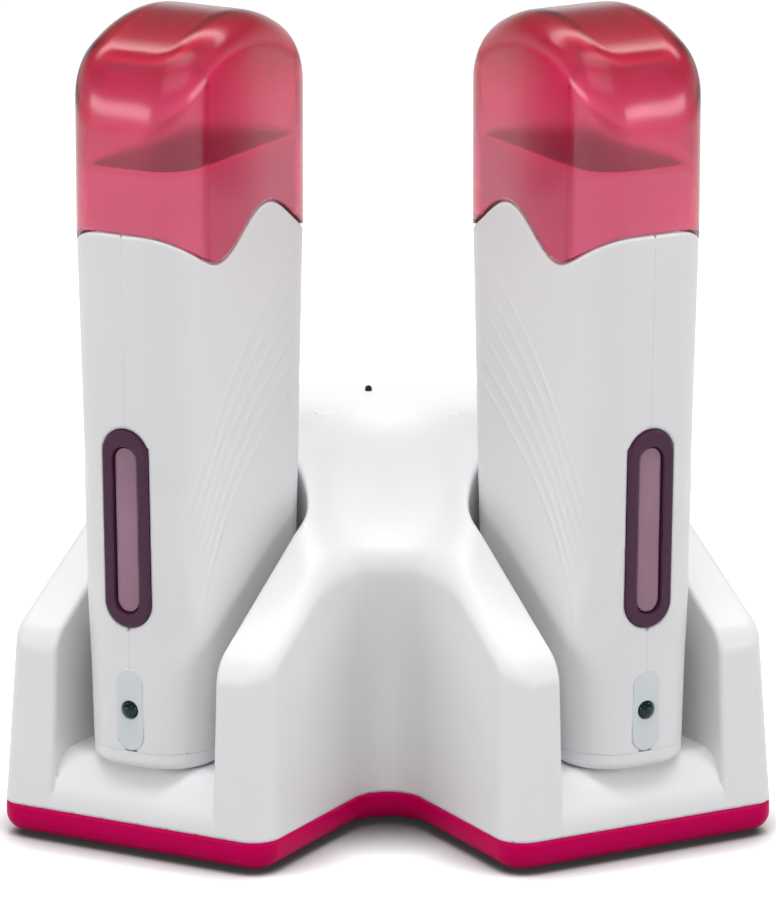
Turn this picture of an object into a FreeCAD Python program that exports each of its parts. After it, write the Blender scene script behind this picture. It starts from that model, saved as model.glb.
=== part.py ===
import FreeCAD, Part

import math
import os
import re

import Sketcher

# Duo roll-on wax heater: two lift-off handsets that stand in the arms of a V-shaped charging base.
# Origin at the centre of the base on the table, +Z up, the open side of the V towards -Y.
# Each arm has its own pair of plan directions: "forward" out of the mouth of its bay, and "side"
# towards the middle of the base. The handsets are drawn in a frame of their own with +X forward.

# ---- driving dimensions, in millimetres and degrees ----

SIZES = {
    # plan of the base
    "arm_angle": 29,
    "front_distance": 77.1,
    "outer_reach": 79.3,
    "notch_offset": 4.9,
    "rear_reach": 66.9,
    "outer_corner_radius": 6,
    "front_corner_radius": 8,
    "notch_radius": 10.3,
    "rear_corner_radius": 16,
    "wall_draft": 3,
    # heights of the base
    "foot_gap": 1.2,
    "tray_top": 9.5,
    "bay_floor": 25.2,
    "front_height": 56,
    "ramp_angle": 31.8,
    "ledge_height": 105,
    "base_wall": 2.4,
    # hollow that runs down the middle of the ramp
    "saddle_radius": 32,
    "saddle_angle": 32.3,
    "saddle_front": 14,
    "saddle_height": 78.5,
    "saddle_length": 70,
    # bays
    "dock_forward": 43.3,
    "dock_side": 36.7,
    "bay_width": 50,
    "bay_depth": 37.5,
    "bay_corner_radius": 24.5,
    "bay_lip_radius": 9,
    # tray, feet and screws
    "tray_wall": 2.4,
    "tray_floor": 2.5,
    "tray_edge_radius": 5,
    "rubber_radius": 6,
    "rubber_recess": 0.8,
    "rubber_forward": 52,
    "rubber_outer_side": 62,
    "rubber_inner_side": 14,
    "rubber_rear_x": 22,
    "rubber_rear_inset": 14.9,
    "column_radius": 4,
    "column_forward": 61,
    "column_outer_side": 69.8,
    "column_inner_side": 3.2,
    "column_rear_x": 36,
    "column_rear_inset": 18.9,
    "screw_radius": 1.5,
    "screw_grip": 9,
    "screw_head_radius": 2.9,
    "screw_head_height": 2.2,
    "screw_head_depth": 3.4,
    # circuit board and its lamp under the ledge
    "board_length": 62,
    "board_width": 30,
    "board_thickness": 1.6,
    "board_drop": 13,
    "board_inset": 22.9,
    "board_post_radius": 3,
    "board_post_x": 26,
    "board_post_y": 10,
    "board_screw_radius": 1.1,
    "board_screw_head_radius": 2.2,
    "board_screw_head_height": 1.6,
    "board_screw_length": 7,
    "base_led_radius": 1,
    "base_led_flange_radius": 1.9,
    "base_led_flange_height": 1,
    "base_led_x": 5.5,
    "base_led_inset": 15.9,
    "base_led_rise": 1.5,
    "base_led_lead_radius": 1,
    "base_led_spacer_radius": 2.4,
    # mains inlet, two round pins
    "inlet_width": 21,
    "inlet_height": 13,
    "inlet_depth": 16,
    "inlet_z": 26,
    "inlet_setback": 1.6,
    "inlet_socket_length": 15.5,
    "inlet_socket_radius": 4.1,
    "inlet_socket_depth": 12,
    "inlet_pin_radius": 1.2,
    "inlet_pin_spacing": 8.6,
    "inlet_pin_length": 9,
    "inlet_cable_inset": 34.9,
    # contact blocks in the floor of each bay
    "block_length": 26,
    "block_width": 12,
    "block_rim": 2,
    "block_rim_height": 2,
    "block_depth": 11,
    "pin_radius": 1.5,
    "pin_spacing": 18,
    "pin_rise": 7.5,
    "cable_radius": 2,
    "cable_bend": 14,
    "cable_start": 24,
    "cable_drop": 7,
    # outside of a handset
    "foot_depth": 67.6,
    "foot_width": 35.4,
    "top_depth": 74,
    "top_width": 39.8,
    "taper_height": 150,
    "section_radius": 14.4,
    "dock_clearance": 0.3,
    "shell_wall": 2.1,
    "cap_rise": 53.8,
    "cap_wall": 1.8,
    "cap_edge_radius": 10,
    "cap_clearance": 0.3,
    # top of the cap, an arc along its depth
    "cap_crown_radius": 52,
    "cap_crown_x": 1.5,
    # wavy joint between cap and shells
    "wave_drop": 4.8,
    "wave_swing": 5.8,
    "wave_length": 51,
    "wave_trough": 18.3,
    # mouth collar and cartridge chamber
    "neck_height": 16,
    "mouth_rim": 2.4,
    "neck_step": 0.2,
    "collar_depth": 22,
    "chamber_depth": 54,
    "chamber_width": 29,
    "chamber_radius": 9.5,
    "chamber_floor": 40,
    "jacket_wall": 1.2,
    "jacket_floor": 2,
    "heater_length": 36,
    "heater_width": 22,
    "heater_height": 4,
    "heater_x": -4,
    "thermostat_length": 9,
    "thermostat_width": 16,
    "thermostat_height": 5,
    "thermostat_x": 20,
    # window in the narrow front
    "window_width": 14.3,
    "window_bottom": 39.7,
    "window_top": 95.3,
    "pane_width": 7.5,
    "pane_margin": 4.9,
    "window_proud": 0.5,
    "pane_recess": 0.3,
    "pane_thickness": 1.6,
    # indicator plate and lamp
    "plate_width": 8.2,
    "plate_bottom": 5,
    "plate_top": 28,
    "plate_thickness": 0.9,
    "plate_proud": 0.2,
    "led_height": 16.5,
    "led_radius": 2.5,
    "led_flange_radius": 2.9,
    "led_flange_height": 1,
    "led_centre_depth": 0.7,
    "led_board_width": 10,
    "led_board_height": 18,
    # foot of a handset
    "foot_band": 4.7,
    "foot_floor": 2.5,
    "foot_edge_radius": 2.2,
    "foot_screw_x": 18.5,
    "foot_screw_y": 12.2,
    "foot_screw_radius": 1.3,
    "foot_screw_head_radius": 2.4,
    "foot_screw_head_height": 1.6,
    "foot_screw_recess": 0.2,
    "foot_screw_grip": 8,
    "foot_boss_radius": 4.2,
    "foot_boss_height": 15,
    "socket_wall": 1.05,
    "socket_clearance": 0.06,
    "socket_height": 12,
    "socket_end": 2,
    "lead_radius": 0.9,
}

# reach of a cutting shape that has to pass right through, and how far others run past a face
CLEAR = 150
PAST = 1

doc = FreeCAD.newDocument("wax_heater")
sheet = doc.addObject("Spreadsheet::Sheet", "Sizes")
for row, (name, size) in enumerate(SIZES.items(), start=1):
    sheet.set("A%d" % row, name)
    sheet.set("B%d" % row, str(size))
    sheet.setAlias("B%d" % row, name)
doc.recompute()

NODES = {}


def bound(expression):
    """The expression with every size read from the sheet."""

    def read(word):
        return "Sizes." + word[0] if word[0] in SIZES else word[0]

    return re.sub(r"[a-z_]+", read, str(expression))


def number(expression):
    """What an expression of sizes comes to."""
    return float(sheet.evalExpression(bound(expression)))


def tie(thing, **properties):
    """Binds properties of an object to expressions of sizes."""
    for name, expression in properties.items():
        thing.setExpression(name.replace("__", "."), bound(expression))
    return thing


def place(thing, x=0, y=0, z=0):
    """Ties where an object stands."""
    return tie(thing, Placement__Base__x=x, Placement__Base__y=y, Placement__Base__z=z)


def node(name, thing):
    """Makes an object one piece of the product, with a name of its own."""
    thing.Label = name
    NODES[name] = thing
    return thing


# ---- Part primitives and booleans ----


def box(length, width, height, x=0, y=0, z=0):
    """A block centred on x and y that stands on z."""
    block = tie(doc.addObject("Part::Box", "Box"), Length=length, Width=width, Height=height)
    return place(block, "%s - (%s) / 2" % (x, length), "%s - (%s) / 2" % (y, width), z)


def cylinder(radius, height, x=0, y=0, z=0, axis="Z"):
    """A cylinder from (x, y, z) along an axis."""
    rod = tie(doc.addObject("Part::Cylinder", "Cylinder"), Radius=radius, Height=height)
    turns = {"Z": (0, 0, 0), "X": (0, 90, 0), "Y": (0, 0, -90)}
    rod.Placement.Rotation = FreeCAD.Rotation(*turns[axis])
    return place(rod, x, y, z)


def rods(radius, height, spots, z=0):
    """The same upright cylinder at several plan points."""
    return [cylinder(radius, height, x, y, z) for x, y in spots]


def sphere(radius, x=0, y=0, z=0):
    """A ball about (x, y, z)."""
    return place(tie(doc.addObject("Part::Sphere", "Sphere"), Radius=radius), x, y, z)


def cut(base, *tools):
    """The base without each of the tools."""
    for tool in tools:
        result = doc.addObject("Part::Cut", "Cut")
        result.Base = base
        result.Tool = tool
        base = result
    return base


def common(base, tool):
    """What the base and the tool share."""
    result = doc.addObject("Part::Common", "Common")
    result.Base = base
    result.Tool = tool
    return result


def fuse(*things):
    """Several solids as one."""
    result = doc.addObject("Part::MultiFuse", "Fusion")
    result.Shapes = list(things)
    result.Refine = True
    return result


def group(*things):
    """Several separate solids in one piece, such as a set of screws."""
    result = doc.addObject("Part::Compound", "Group")
    result.Links = list(things)
    return result


def mirror(thing):
    """The same thing on the other side of the base."""
    result = doc.addObject("Part::Mirroring", "Mirror")
    result.Source = thing
    result.Normal = FreeCAD.Vector(1, 0, 0)
    return result


# ---- bodies with sketches ----


def sketch(body, plane, lift="0", turn=None):
    """An empty sketch on one of the body's own planes, lifted off it or turned about its vertical."""
    drawing = body.newObject("Sketcher::SketchObject", "Sketch")
    support = next(feature for feature in body.Origin.OriginFeatures if feature.Role == plane)
    drawing.AttachmentSupport = (support, [""])
    drawing.MapMode = "FlatFace"
    if turn is None:
        return tie(drawing, AttachmentOffset__Base__z=lift)
    upright = FreeCAD.Rotation(FreeCAD.Vector(0, 1, 0), 1)
    drawing.AttachmentOffset = FreeCAD.Placement(FreeCAD.Vector(), upright)
    return tie(drawing, AttachmentOffset__Rotation__Angle=turn)


def polygon(drawing, corners):
    """Adds a closed outline whose corners are expressions of sizes."""
    points = [FreeCAD.Vector(number(x), number(y), 0) for x, y in corners]
    lines = []
    for index, point in enumerate(points):
        lines.append(drawing.addGeometry(Part.LineSegment(point, points[(index + 1) % len(points)])))
    for line, following in zip(lines, lines[1:] + lines[:1]):
        drawing.addConstraint(Sketcher.Constraint("Coincident", line, 2, following, 1))
    for line, corner in zip(lines, corners):
        for kind, expression in zip(("DistanceX", "DistanceY"), corner):
            rule = drawing.addConstraint(Sketcher.Constraint(kind, -1, 1, line, 1, number(expression)))
            drawing.setExpression("Constraints[%d]" % rule, bound(expression))
    return drawing


def above_arc(drawing, x, top, radius, reach, sky):
    """Adds the outline of what lies above an arc whose highest point is at (x, top)."""
    middle = FreeCAD.Vector(number(x), number(top) - number(radius), 0)
    circle = Part.Circle(middle, FreeCAD.Vector(0, 0, 1), number(radius))
    turns = [math.acos((sign * number(reach) - middle.x) / circle.Radius) for sign in (1, -1)]
    arc = drawing.addGeometry(Part.ArcOfCircle(circle, *turns))
    ends = [circle.value(turn) for turn in turns]
    tops = [FreeCAD.Vector(end.x, number(sky), 0) for end in ends]
    points = [ends[0], tops[0], tops[1], ends[1]]
    lines = [drawing.addGeometry(Part.LineSegment(*pair)) for pair in zip(points, points[1:])]
    joins = [(arc, 1, lines[0], 1), (lines[0], 2, lines[1], 1), (lines[1], 2, lines[2], 1), (lines[2], 2, arc, 2)]
    for join in joins:
        drawing.addConstraint(Sketcher.Constraint("Coincident", *join))
    rules = [("DistanceX", (arc, 3), x), ("DistanceY", (arc, 3), "(%s) - (%s)" % (top, radius))]
    rules += [("DistanceX", (lines[0], 1), reach), ("DistanceX", (lines[2], 2), "-(%s)" % reach)]
    rules += [("DistanceX", (lines[1], 1), reach), ("DistanceY", (lines[1], 1), sky)]
    rules += [("DistanceX", (lines[1], 2), "-(%s)" % reach), ("DistanceY", (lines[1], 2), sky)]
    for kind, spot, expression in rules:
        rule = drawing.addConstraint(Sketcher.Constraint(kind, -1, 1, *spot, number(expression)))
        drawing.setExpression("Constraints[%d]" % rule, bound(expression))
    rule = drawing.addConstraint(Sketcher.Constraint("Radius", arc, number(radius)))
    drawing.setExpression("Constraints[%d]" % rule, bound(radius))
    return drawing


def rectangle(half_x, half_y):
    """The corners of a rectangle about the origin."""
    return [
        ("-(%s)" % half_x, "-(%s)" % half_y),
        (half_x, "-(%s)" % half_y),
        (half_x, half_y),
        ("-(%s)" % half_x, half_y),
    ]


def feature(body, kind, profile, **properties):
    """One PartDesign feature made from a sketch."""
    step = body.newObject("PartDesign::" + kind, kind)
    step.Profile = profile
    profile.Visibility = False
    tie(step, **properties)
    doc.recompute()
    return step


def pocket_through(body, profile):
    """Cuts the outline out of the body, both ways from the sketch."""
    step = body.newObject("PartDesign::Pocket", "Pocket")
    step.Profile = profile
    step.SideType = "Symmetric"
    step.Length = 4 * CLEAR
    doc.recompute()
    return step


def pocket_up(body, profile):
    """Cuts the outline out of the body above the sketch."""
    step = body.newObject("PartDesign::Pocket", "Pocket")
    step.Profile = profile
    step.Reversed = True
    step.Length = CLEAR
    doc.recompute()
    return step


def rounded(body, test, radius):
    """Rounds the edges of the body's last feature that pass a test."""
    last = body.Tip
    names = ["Edge%d" % (index + 1) for index, edge in enumerate(last.Shape.Edges) if test(edge)]
    step = body.newObject("PartDesign::Fillet", "Fillet")
    step.Base = (last, names)
    tie(step, Radius=radius)
    doc.recompute()
    return step


def bevelled(body, test, size):
    """Bevels the edges of the body's last feature that pass a test."""
    last = body.Tip
    names = ["Edge%d" % (index + 1) for index, edge in enumerate(last.Shape.Edges) if test(edge)]
    step = body.newObject("PartDesign::Chamfer", "Chamfer")
    step.Base = (last, names)
    tie(step, Size=size)
    doc.recompute()
    return step


def rises(edge):
    """True for an edge that runs from one level to another."""
    ends = [vertex.Z for vertex in edge.Vertexes]
    return len(ends) == 2 and abs(ends[0] - ends[1]) > 1


def level(height):
    """A test for edges that lie at one height."""
    at = number(height)
    return lambda edge: abs(edge.BoundBox.ZMin - at) < 0.01 and abs(edge.BoundBox.ZMax - at) < 0.01


# ---- plan directions of the arms: side is -1 for the left arm and 1 for the right one ----


def arm_point(forward, inward, side=-1):
    """Plan coordinates of a point given by its distances along an arm's two directions."""
    x = "sin(arm_angle) * (%s) - cos(arm_angle) * (%s)" % (forward, inward)
    y = "-cos(arm_angle) * (%s) - sin(arm_angle) * (%s)" % (forward, inward)
    return ("(%s) * %d" % (x, side), y)


def base_outline(inset):
    """Corners of the base's plan, with every side moved in by the same distance."""
    front = "(front_distance - %s)" % inset
    outer = "(outer_reach - %s)" % inset
    notch = "(notch_offset - %s)" % inset
    rear = "(rear_reach - %s)" % inset
    rear_x = "(%s - %s * sin(arm_angle)) / cos(arm_angle)" % (outer, rear)
    return [
        arm_point(front, "-" + outer),
        arm_point(front, notch),
        ("0", "-%s / sin(arm_angle)" % notch),
        arm_point(front, notch, 1),
        arm_point(front, "-" + outer, 1),
        (rear_x, rear),
        ("-" + rear_x, rear),
    ]


def corner_test(*corners):
    """A test for rising edges whose lower end is near one of the given plan points."""
    spots = [FreeCAD.Vector(number(x), number(y), 0) for x, y in corners]

    def test(edge):
        if not rises(edge):
            return False
        foot = min((vertex.Point for vertex in edge.Vertexes), key=lambda point: point.z)
        return any(FreeCAD.Vector(foot.x, foot.y, 0).distanceToPoint(spot) < 3 for spot in spots)

    return test


def round_plan_corners(body, inset):
    """Rounds the upright corners of the base's plan; inner walls stay parallel to outer ones."""
    outline = base_outline(inset)
    rounded(body, corner_test(outline[2]), "notch_radius + %s" % inset)
    rounded(body, corner_test(outline[0], outline[4]), "outer_corner_radius - %s" % inset)
    rounded(body, corner_test(outline[1], outline[3]), "front_corner_radius - %s" % inset)
    rounded(body, corner_test(outline[5], outline[6]), "rear_corner_radius - %s" % inset)


def base_form(name, inset):
    """The base above the tray as a solid: drafted plan, a ramp along each arm, a level ledge behind,
    and a bay open to the front in each arm. With an inset it is the hollow inside the walls."""
    body = doc.addObject("PartDesign::Body", name)
    plan = polygon(sketch(body, "XY_Plane", "tray_top"), base_outline(inset))
    feature(body, "Pad", plan, Length="ledge_height", TaperAngle="-wall_draft")
    round_plan_corners(body, inset)
    front_top = "(front_height - %s / cos(ramp_angle))" % inset
    ledge = "(ledge_height - %s)" % inset
    # in a sketch turned along an arm, x grows towards the rear
    ramp_start = "-front_distance - %d" % PAST
    ramp_low = front_top + " - %d * tan(ramp_angle)" % PAST
    ramp_end = "(%s - %s) / tan(ramp_angle) - front_distance" % (ledge, front_top)
    sky = "2 * ledge_height"
    above = [(ramp_start, ramp_low), (ramp_end, ledge), (CLEAR, ledge), (CLEAR, sky), (ramp_start, sky)]
    for side in (-1, 1):
        profile = sketch(body, "XZ_Plane", turn="90 + %d * arm_angle" % side)
        pocket_through(body, polygon(profile, above))
    for side in (-1, 1):
        half = "(bay_width / 2 + %s)" % inset
        back = "dock_forward - bay_depth - %s" % inset
        mouth = "2 * front_distance"
        corners = [
            arm_point(mouth, "-dock_side - " + half, side),
            arm_point(mouth, "-dock_side + " + half, side),
            arm_point(back, "-dock_side + " + half, side),
            arm_point(back, "-dock_side - " + half, side),
        ]
        pocket_up(body, polygon(sketch(body, "XY_Plane", "bay_floor - %s" % inset), corners))
        rounded(body, corner_test(*corners[2:]), "bay_corner_radius + %s" % inset)
    return body


def front_edges_at(height):
    """A test for edges that lie at one height along the front of an arm."""
    at_height = level(height)
    reach = number("front_distance") - 12
    to_arm = FreeCAD.Rotation(FreeCAD.Vector(0, 0, 1), 90 + number("arm_angle"))

    def test(edge):
        middle = edge.BoundBox.Center
        return at_height(edge) and to_arm.multVec(FreeCAD.Vector(-abs(middle.x), middle.y, 0)).x > reach

    return test


# ---- placing: pieces of a handset or a bay are drawn about its axis, +X forward ----


def dock(thing, lift="bay_floor + dock_clearance"):
    """Stands a thing in the left bay."""
    placed = group(thing)
    placed.Placement.Rotation = FreeCAD.Rotation(FreeCAD.Vector(0, 0, 1), -1)
    tie(placed, Placement__Rotation__Angle="-90 - arm_angle")
    return place(placed, *arm_point("dock_forward", "-dock_side"), lift)


def pair(name, thing):
    """A piece of the left arm and its mirror image in the right one."""
    node("left_" + name, thing)
    node("right_" + name, mirror(thing))


def lean(thing):
    """Lays a thing drawn on the plane x = 0 against the narrow front of a handset, which leans out."""
    placed = group(thing)
    placed.Placement.Rotation = FreeCAD.Rotation(FreeCAD.Vector(0, 1, 0), 1)
    tie(placed, Placement__Rotation__Angle="atan((top_depth - foot_depth) / 2 / taper_height)")
    return place(placed, "foot_depth / 2", 0, 0)


# ---- shapes that several pieces share ----

# levels of a handset, counted from where its taper ends
WAVE = "(taper_height - wave_drop)"
COLLAR_BASE = "(taper_height - collar_depth)"
MOUTH = "(taper_height + neck_height)"
CAP_TOP = "(taper_height + cap_rise)"


def tapered_block(name, low, high, low_size, high_size, radius):
    """A block whose rectangular section changes evenly with height, with rounded upright edges."""
    body = doc.addObject("PartDesign::Body", name)
    depths, widths = zip(low_size, high_size)
    faces = [("-(%s) / 2" % depths[0], low), ("(%s) / 2" % depths[0], low)]
    faces += [("(%s) / 2" % depths[1], high), ("-(%s) / 2" % depths[1], high)]
    ahead = body.newObject("PartDesign::Pad", "Pad")
    ahead.Profile = polygon(sketch(body, "XZ_Plane"), faces)
    ahead.SideType = "Symmetric"
    ahead.Length = 2 * CLEAR
    doc.recompute()
    sides = sketch(body, "YZ_Plane")
    for sign in ("-", ""):
        near = [("%s(%s) / 2" % (sign, width), height) for width, height in zip(widths, (low, high))]
        far = [("%s%d" % (sign, 2 * CLEAR), height) for height in (high, low)]
        polygon(sides, near + far)
    pocket_through(body, sides)
    rounded(body, rises, radius)
    return body


def straight_block(name, low, high, size, radius):
    """A block with one rectangular section all the way up, with rounded upright edges."""
    body = doc.addObject("PartDesign::Body", name)
    corners = rectangle("(%s) / 2" % size[0], "(%s) / 2" % size[1])
    plan = polygon(sketch(body, "XY_Plane", low), corners)
    feature(body, "Pad", plan, Length="(%s) - (%s)" % (high, low))
    rounded(body, rises, radius)
    return body


def section(height, inset):
    """Depth and width of a handset at some height, measured inside a wall."""
    share = "(%s) / taper_height" % height
    depth = "foot_depth + (top_depth - foot_depth) * %s - 2 * (%s)" % (share, inset)
    width = "foot_width + (top_width - foot_width) * %s - 2 * (%s)" % (share, inset)
    return depth, width


def handset_block(name, inset, low, high):
    """The tapered part of a handset between two heights."""
    sizes = section(low, inset), section(high, inset)
    return tapered_block(name, low, high, *sizes, "section_radius - (%s)" % inset)


def top_block(name, inset, low, high):
    """The straight part of a handset above its taper."""
    size = section("taper_height", inset)
    return straight_block(name, low, high, size, "section_radius - (%s)" % inset)


def stadium(width, bottom, top, back, front):
    """An upright slot shape with round ends, from x = back to x = front."""
    depth = "(%s) - (%s)" % (front, back)
    radius = "(%s) / 2" % width
    low = "(%s) + (%s) / 2" % (bottom, width)
    high = "(%s) - (%s) / 2" % (top, width)
    middle = box(depth, width, "(%s) - (%s)" % (high, low), "((%s) + (%s)) / 2" % (front, back), 0, low)
    ends = [cylinder(radius, depth, back, 0, height, "X") for height in (low, high)]
    return fuse(middle, *ends)


def wave_block(name, lift, above):
    """Everything above or below the wavy line of the cap's edge, across the whole handset."""
    block = doc.addObject("Part::Feature", name)
    reach = number("top_depth")
    steps = 64
    points = []
    for step in range(steps + 1):
        x = reach * (2 * step / steps - 1)
        swing = math.cos(2 * math.pi * (x - number("wave_trough")) / number("wave_length"))
        z = number(WAVE) - number("wave_swing") * swing + number(lift)
        points.append(FreeCAD.Vector(x, -reach, z))
    curve = Part.BSplineCurve()
    curve.interpolate(points)
    far = 2 * number(CAP_TOP) if above else -reach
    ends = [FreeCAD.Vector(x, -reach, far) for x in (reach, -reach)]
    frame = Part.makePolygon([points[-1], *ends, points[0]])
    outline = Part.Wire([curve.toShape()] + frame.Edges)
    block.Shape = Part.Face(outline).extrude(FreeCAD.Vector(0, 2 * reach, 0))
    return block


def tube_path(start, stop, low, high):
    """A cable that runs back along x at a low height, then bends up and rises to a higher one."""
    bend_x = "(%s) + cable_bend" % stop
    bend_z = "(%s) + cable_bend" % low
    along = cylinder("cable_radius", "(%s) - (%s)" % (start, bend_x), bend_x, 0, low, "X")
    arc = tie(doc.addObject("Part::Torus", "Bend"), Radius1="cable_bend", Radius2="cable_radius")
    arc.Angle3 = 90
    turn_over = FreeCAD.Rotation(FreeCAD.Vector(0, 1, 0), 180)
    arc.Placement.Rotation = turn_over * FreeCAD.Rotation(FreeCAD.Vector(1, 0, 0), 90)
    place(arc, bend_x, 0, bend_z)
    rise = cylinder("cable_radius", "(%s) - (%s)" % (high, bend_z), stop, 0, bend_z)
    return fuse(along, arc, rise)


def screw(head_radius, head_height, radius, length, x, y, z):
    """A screw that points up: its head's bearing face is at z."""
    head = cylinder(head_radius, head_height, x, y, "(%s) - (%s)" % (z, head_height))
    return fuse(head, cylinder(radius, length, x, y, z))


def both_sides(x, y):
    """The same plan point on the left and on the right."""
    return [(x, y), ("-(%s)" % x, y)]


# ---- base ----

SCREW_SPOTS = (
    both_sides(*arm_point("column_forward", "-column_outer_side"))
    + both_sides(*arm_point("column_forward", "-column_inner_side"))
    + both_sides("column_rear_x", "rear_reach - column_rear_inset")
)
RUBBER_SPOTS = (
    both_sides(*arm_point("rubber_forward", "-rubber_outer_side"))
    + both_sides(*arm_point("rubber_forward", "-rubber_inner_side"))
    + both_sides("rubber_rear_x", "rear_reach - rubber_rear_inset")
)
BOARD_Y = "(rear_reach - board_inset)"
POST_SPOTS = [
    *both_sides("board_post_x", BOARD_Y + " - board_post_y"),
    *both_sides("board_post_x", BOARD_Y + " + board_post_y"),
]

LEDGE_UNDERSIDE = "(ledge_height - base_wall)"
BOARD_TOP = "(%s - board_drop)" % LEDGE_UNDERSIDE
BOARD_BOTTOM = "(%s - board_thickness)" % BOARD_TOP
BASE_LED_Y = "(rear_reach - base_led_inset)"
INLET_FACE = "(rear_reach - inlet_setback)"


def saddle(radius):
    """The round hollow that runs up the middle of the ramp, as the cylinder that cuts it."""
    rod = tie(doc.addObject("Part::Cylinder", "Saddle"), Radius=radius, Height="2 * saddle_length")
    rod.Placement.Rotation = FreeCAD.Rotation(FreeCAD.Vector(-1, 0, 0), 1)
    tie(rod, Placement__Rotation__Angle="90 - saddle_angle")
    y = "-saddle_front - saddle_radius * sin(saddle_angle) - saddle_length * cos(saddle_angle)"
    z = "saddle_height + saddle_radius * cos(saddle_angle) - saddle_length * sin(saddle_angle)"
    return place(rod, 0, y, z)


def upper_shell():
    """The white upper housing: walls, ramp, ledge and bays, with posts for screws inside."""
    columns = rods("column_radius", "ledge_height", SCREW_SPOTS)
    posts = rods("board_post_radius", "ledge_height", POST_SPOTS, BOARD_TOP)
    outside = base_form("base_outside", "0")
    rounded(outside, front_edges_at("bay_floor"), "bay_lip_radius")
    inside = base_form("base_inside", "base_wall")
    bevelled(inside, front_edges_at("bay_floor - base_wall"), "bay_lip_radius / 2")
    hollow = cut(inside, saddle("saddle_radius + base_wall"), *columns, *posts)
    pilots = rods("screw_radius", "tray_top + screw_grip", SCREW_SPOTS)
    pilots += rods("board_screw_radius", "board_screw_length - board_thickness", POST_SPOTS, BOARD_TOP)
    lamp = cylinder("base_led_radius", "2 * base_wall", "-base_led_x", BASE_LED_Y, LEDGE_UNDERSIDE)
    inlet = box("inlet_width", "inlet_depth", "inlet_height", 0, "rear_reach", "inlet_z - inlet_height / 2")
    contacts = dock(box("block_length", "block_width", "2 * base_wall", 0, 0, "-base_wall"), "bay_floor")
    holes = [*pilots, lamp, inlet, contacts, mirror(contacts)]
    return cut(outside, saddle("saddle_radius"), hollow, *holes)


def lower_tray():
    """The crimson tray that closes the base from below, with rolled-under edges."""
    body = doc.addObject("PartDesign::Body", "tray")
    plan = polygon(sketch(body, "XY_Plane", "foot_gap"), base_outline("0"))
    feature(body, "Pad", plan, Length="tray_top - foot_gap")
    round_plan_corners(body, "0")
    rounded(body, level("foot_gap"), "tray_edge_radius")
    inside = doc.addObject("PartDesign::Body", "tray_inside")
    plan = polygon(sketch(inside, "XY_Plane", "foot_gap + tray_floor"), base_outline("tray_wall"))
    feature(inside, "Pad", plan, Length="tray_top")
    round_plan_corners(inside, "tray_wall")
    bosses = rods("column_radius", "ledge_height", SCREW_SPOTS)
    holes = rods("rubber_radius", "foot_gap + rubber_recess", RUBBER_SPOTS)
    holes += rods("screw_radius", "ledge_height", SCREW_SPOTS)
    holes += rods("screw_head_radius", "foot_gap + screw_head_depth", SCREW_SPOTS)
    return cut(body, cut(inside, *bosses), *holes)


def base_led():
    """The small lamp in the ledge, with its flange under the skin."""
    x, y = "-base_led_x", BASE_LED_Y
    tip = "(ledge_height + base_led_rise - base_led_radius)"
    flange_base = LEDGE_UNDERSIDE + " - base_led_flange_height"
    flange = cylinder("base_led_flange_radius", "base_led_flange_height", x, y, flange_base)
    stem = cylinder("base_led_radius", tip + " - " + LEDGE_UNDERSIDE, x, y, LEDGE_UNDERSIDE)
    return fuse(flange, stem, sphere("base_led_radius", x, y, tip))


def led_spacer():
    """The tube that holds the lamp up from the circuit board."""
    height = "board_drop - base_led_flange_height"
    tube = cylinder("base_led_spacer_radius", height, "-base_led_x", BASE_LED_Y, BOARD_TOP)
    return cut(tube, cylinder("base_led_lead_radius", height, "-base_led_x", BASE_LED_Y, BOARD_TOP))


def inlet_rods(radius, length, spread):
    """A pair of rods side by side that start at the bottom of the inlet's socket."""
    bottom = "%s - inlet_socket_depth" % INLET_FACE
    return [cylinder(radius, length, sign + spread, bottom, "inlet_z", "Y") for sign in ("-", "")]


def inlet_housing():
    """The two-pin mains inlet in the rear wall."""
    y = "%s - inlet_depth / 2" % INLET_FACE
    block = box("inlet_width", "inlet_depth", "inlet_height", 0, y, "inlet_z - inlet_height / 2")
    spread = "(inlet_socket_length / 2 - inlet_socket_radius)"
    ends = inlet_rods("inlet_socket_radius", "inlet_socket_depth", spread)
    middle = box(
        "2 * " + spread,
        "inlet_socket_depth",
        "2 * inlet_socket_radius",
        0,
        "%s - inlet_socket_depth / 2" % INLET_FACE,
        "inlet_z - inlet_socket_radius",
    )
    return cut(block, fuse(middle, *ends))


def base_cables():
    """Cables from the inlet to the board and from the board to the contact block of each bay."""
    entry = "-block_length / 2"
    run = tube_path(entry, "-dock_forward - cable_start", "-cable_drop", BOARD_BOTTOM + " - bay_floor")
    left = dock(run, "bay_floor")
    inlet_back = INLET_FACE + " - inlet_depth"
    supply = group(tube_path(inlet_back, "rear_reach - inlet_cable_inset", "inlet_z", BOARD_BOTTOM))
    supply.Placement.Rotation = FreeCAD.Rotation(FreeCAD.Vector(0, 0, 1), 90)
    return group(left, mirror(left), supply)


node("base_upper_shell", upper_shell())
node("base_lower_tray", lower_tray())
node("base_feet", group(*rods("rubber_radius", "foot_gap + rubber_recess", RUBBER_SPOTS)))
node(
    "base_screws",
    group(
        *[
            screw(
                "screw_head_radius",
                "screw_head_height",
                "screw_radius",
                "tray_top + screw_grip - foot_gap - screw_head_depth",
                x,
                y,
                "foot_gap + screw_head_depth",
            )
            for x, y in SCREW_SPOTS
        ]
    ),
)
board = box("board_length", "board_width", "board_thickness", 0, BOARD_Y, BOARD_BOTTOM)
board_holes = rods("board_screw_radius", "board_thickness", POST_SPOTS, BOARD_BOTTOM)
node("base_circuit_board", cut(board, *board_holes))
node(
    "base_board_screws",
    group(
        *[
            screw(
                "board_screw_head_radius",
                "board_screw_head_height",
                "board_screw_radius",
                "board_screw_length",
                x,
                y,
                BOARD_BOTTOM,
            )
            for x, y in POST_SPOTS
        ]
    ),
)
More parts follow.
